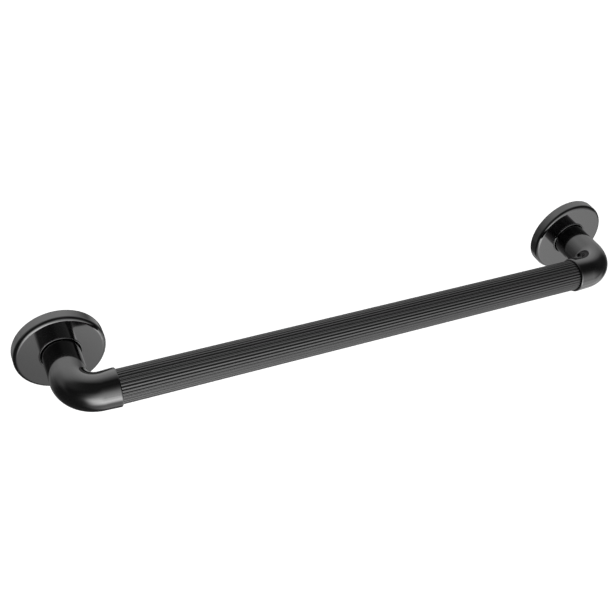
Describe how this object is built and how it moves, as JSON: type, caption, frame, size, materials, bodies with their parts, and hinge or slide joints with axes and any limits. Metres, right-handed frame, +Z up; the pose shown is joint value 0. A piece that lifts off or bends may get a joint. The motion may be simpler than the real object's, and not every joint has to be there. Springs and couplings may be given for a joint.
{
  "type": "grab bar",
  "caption": "Straight wall-mounted grab bar: a fluted black tube held between gloss black elbows, each on a screwed wall plate hidden by a round cover that slides along its stem.",
  "frame": {"origin": "on the wall, midway between the axes of the two stems", "axes": "+X along the bar, to the right as seen from the room; +Y into the wall; +Z up"},
  "size_m": [0.6886, 0.0915, 0.0886],
  "materials": {
    "satin_black": "black anodised, satin",
    "gloss_black": "gloss black lacquer on cast and turned aluminium",
    "zinc_steel": "bright zinc plated",
    "screw_steel": "black oxide",
    "ring_rubber": "matt"
  },
  "bodies": {
    "bar": {"grip_tube": "satin_black", "left_elbow": "gloss_black", "right_elbow": "gloss_black", "left_wall_plate": "zinc_steel", "right_wall_plate": "zinc_steel", "left_post_grub_screw": "screw_steel", "right_post_grub_screw": "screw_steel", "left_tube_screw": "screw_steel", "right_tube_screw": "screw_steel"},
    "left_cover_body": {"left_cover": "gloss_black", "left_cover_o_ring": "ring_rubber"},
    "right_cover_body": {"right_cover": "gloss_black", "right_cover_o_ring": "ring_rubber"}
  },
  "joints": [
    {"name": "left_cover_slide", "type": "slide", "parent": "bar", "child": "left_cover_body", "axis": [0, -1, 0], "range_m": [0, 0.034]},
    {"name": "right_cover_slide", "type": "slide", "parent": "bar", "child": "right_cover_body", "axis": [0, -1, 0], "range_m": [0, 0.034]}
  ]
}
